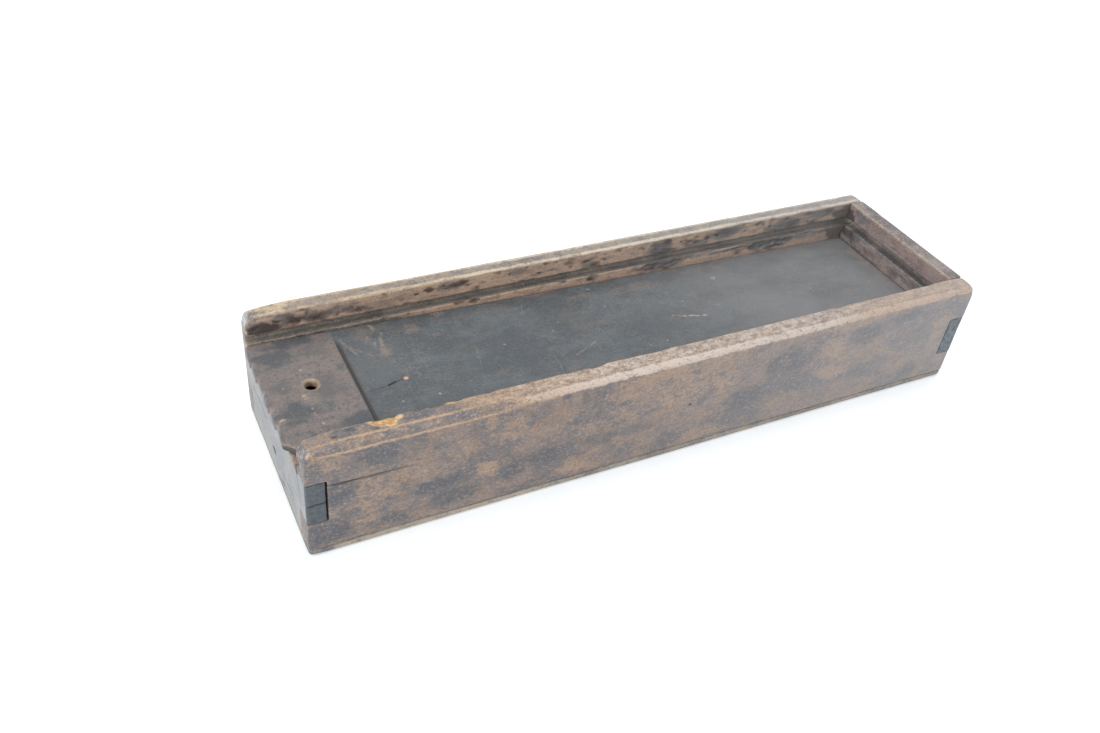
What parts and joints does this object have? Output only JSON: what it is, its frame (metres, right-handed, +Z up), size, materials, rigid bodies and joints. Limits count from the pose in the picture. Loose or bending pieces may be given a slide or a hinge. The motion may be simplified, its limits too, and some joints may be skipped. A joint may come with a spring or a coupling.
{
  "type": "cased sharpening whetstone",
  "caption": "Rectangular bench whetstone lying in a grooved wooden case with through-tenoned corners, a planted bottom board and a tilted sliding lid with a thumb notch.",
  "frame": {"origin": "middle of the object's base, on the surface that the case stands on", "axes": "+X along the case towards its closed far end, +Y towards the thinner back side, +Z up out of the case"},
  "size_m": [0.2314, 0.0656, 0.0382],
  "materials": {
    "side_wood": "matte",
    "end_wood": "matte",
    "base_wood": "matte",
    "lid_wood": "satin",
    "hone_stone": "matte",
    "brad_iron": "matte"
  },
  "bodies": {
    "case": {"front_side": "side_wood", "back_side": "side_wood", "near_end_wall": "end_wood", "far_end_wall": "end_wood", "bottom_board": "base_wood", "whetstone": "hone_stone", "bottom_brads": "brad_iron"},
    "lid": {"sliding_lid": "lid_wood"}
  },
  "joints": [
    {"name": "lid_slide", "type": "slide", "parent": "case", "child": "lid", "axis": [-0.9997, 0, 0.0243], "range_m": [0, 0.235]}
  ]
}
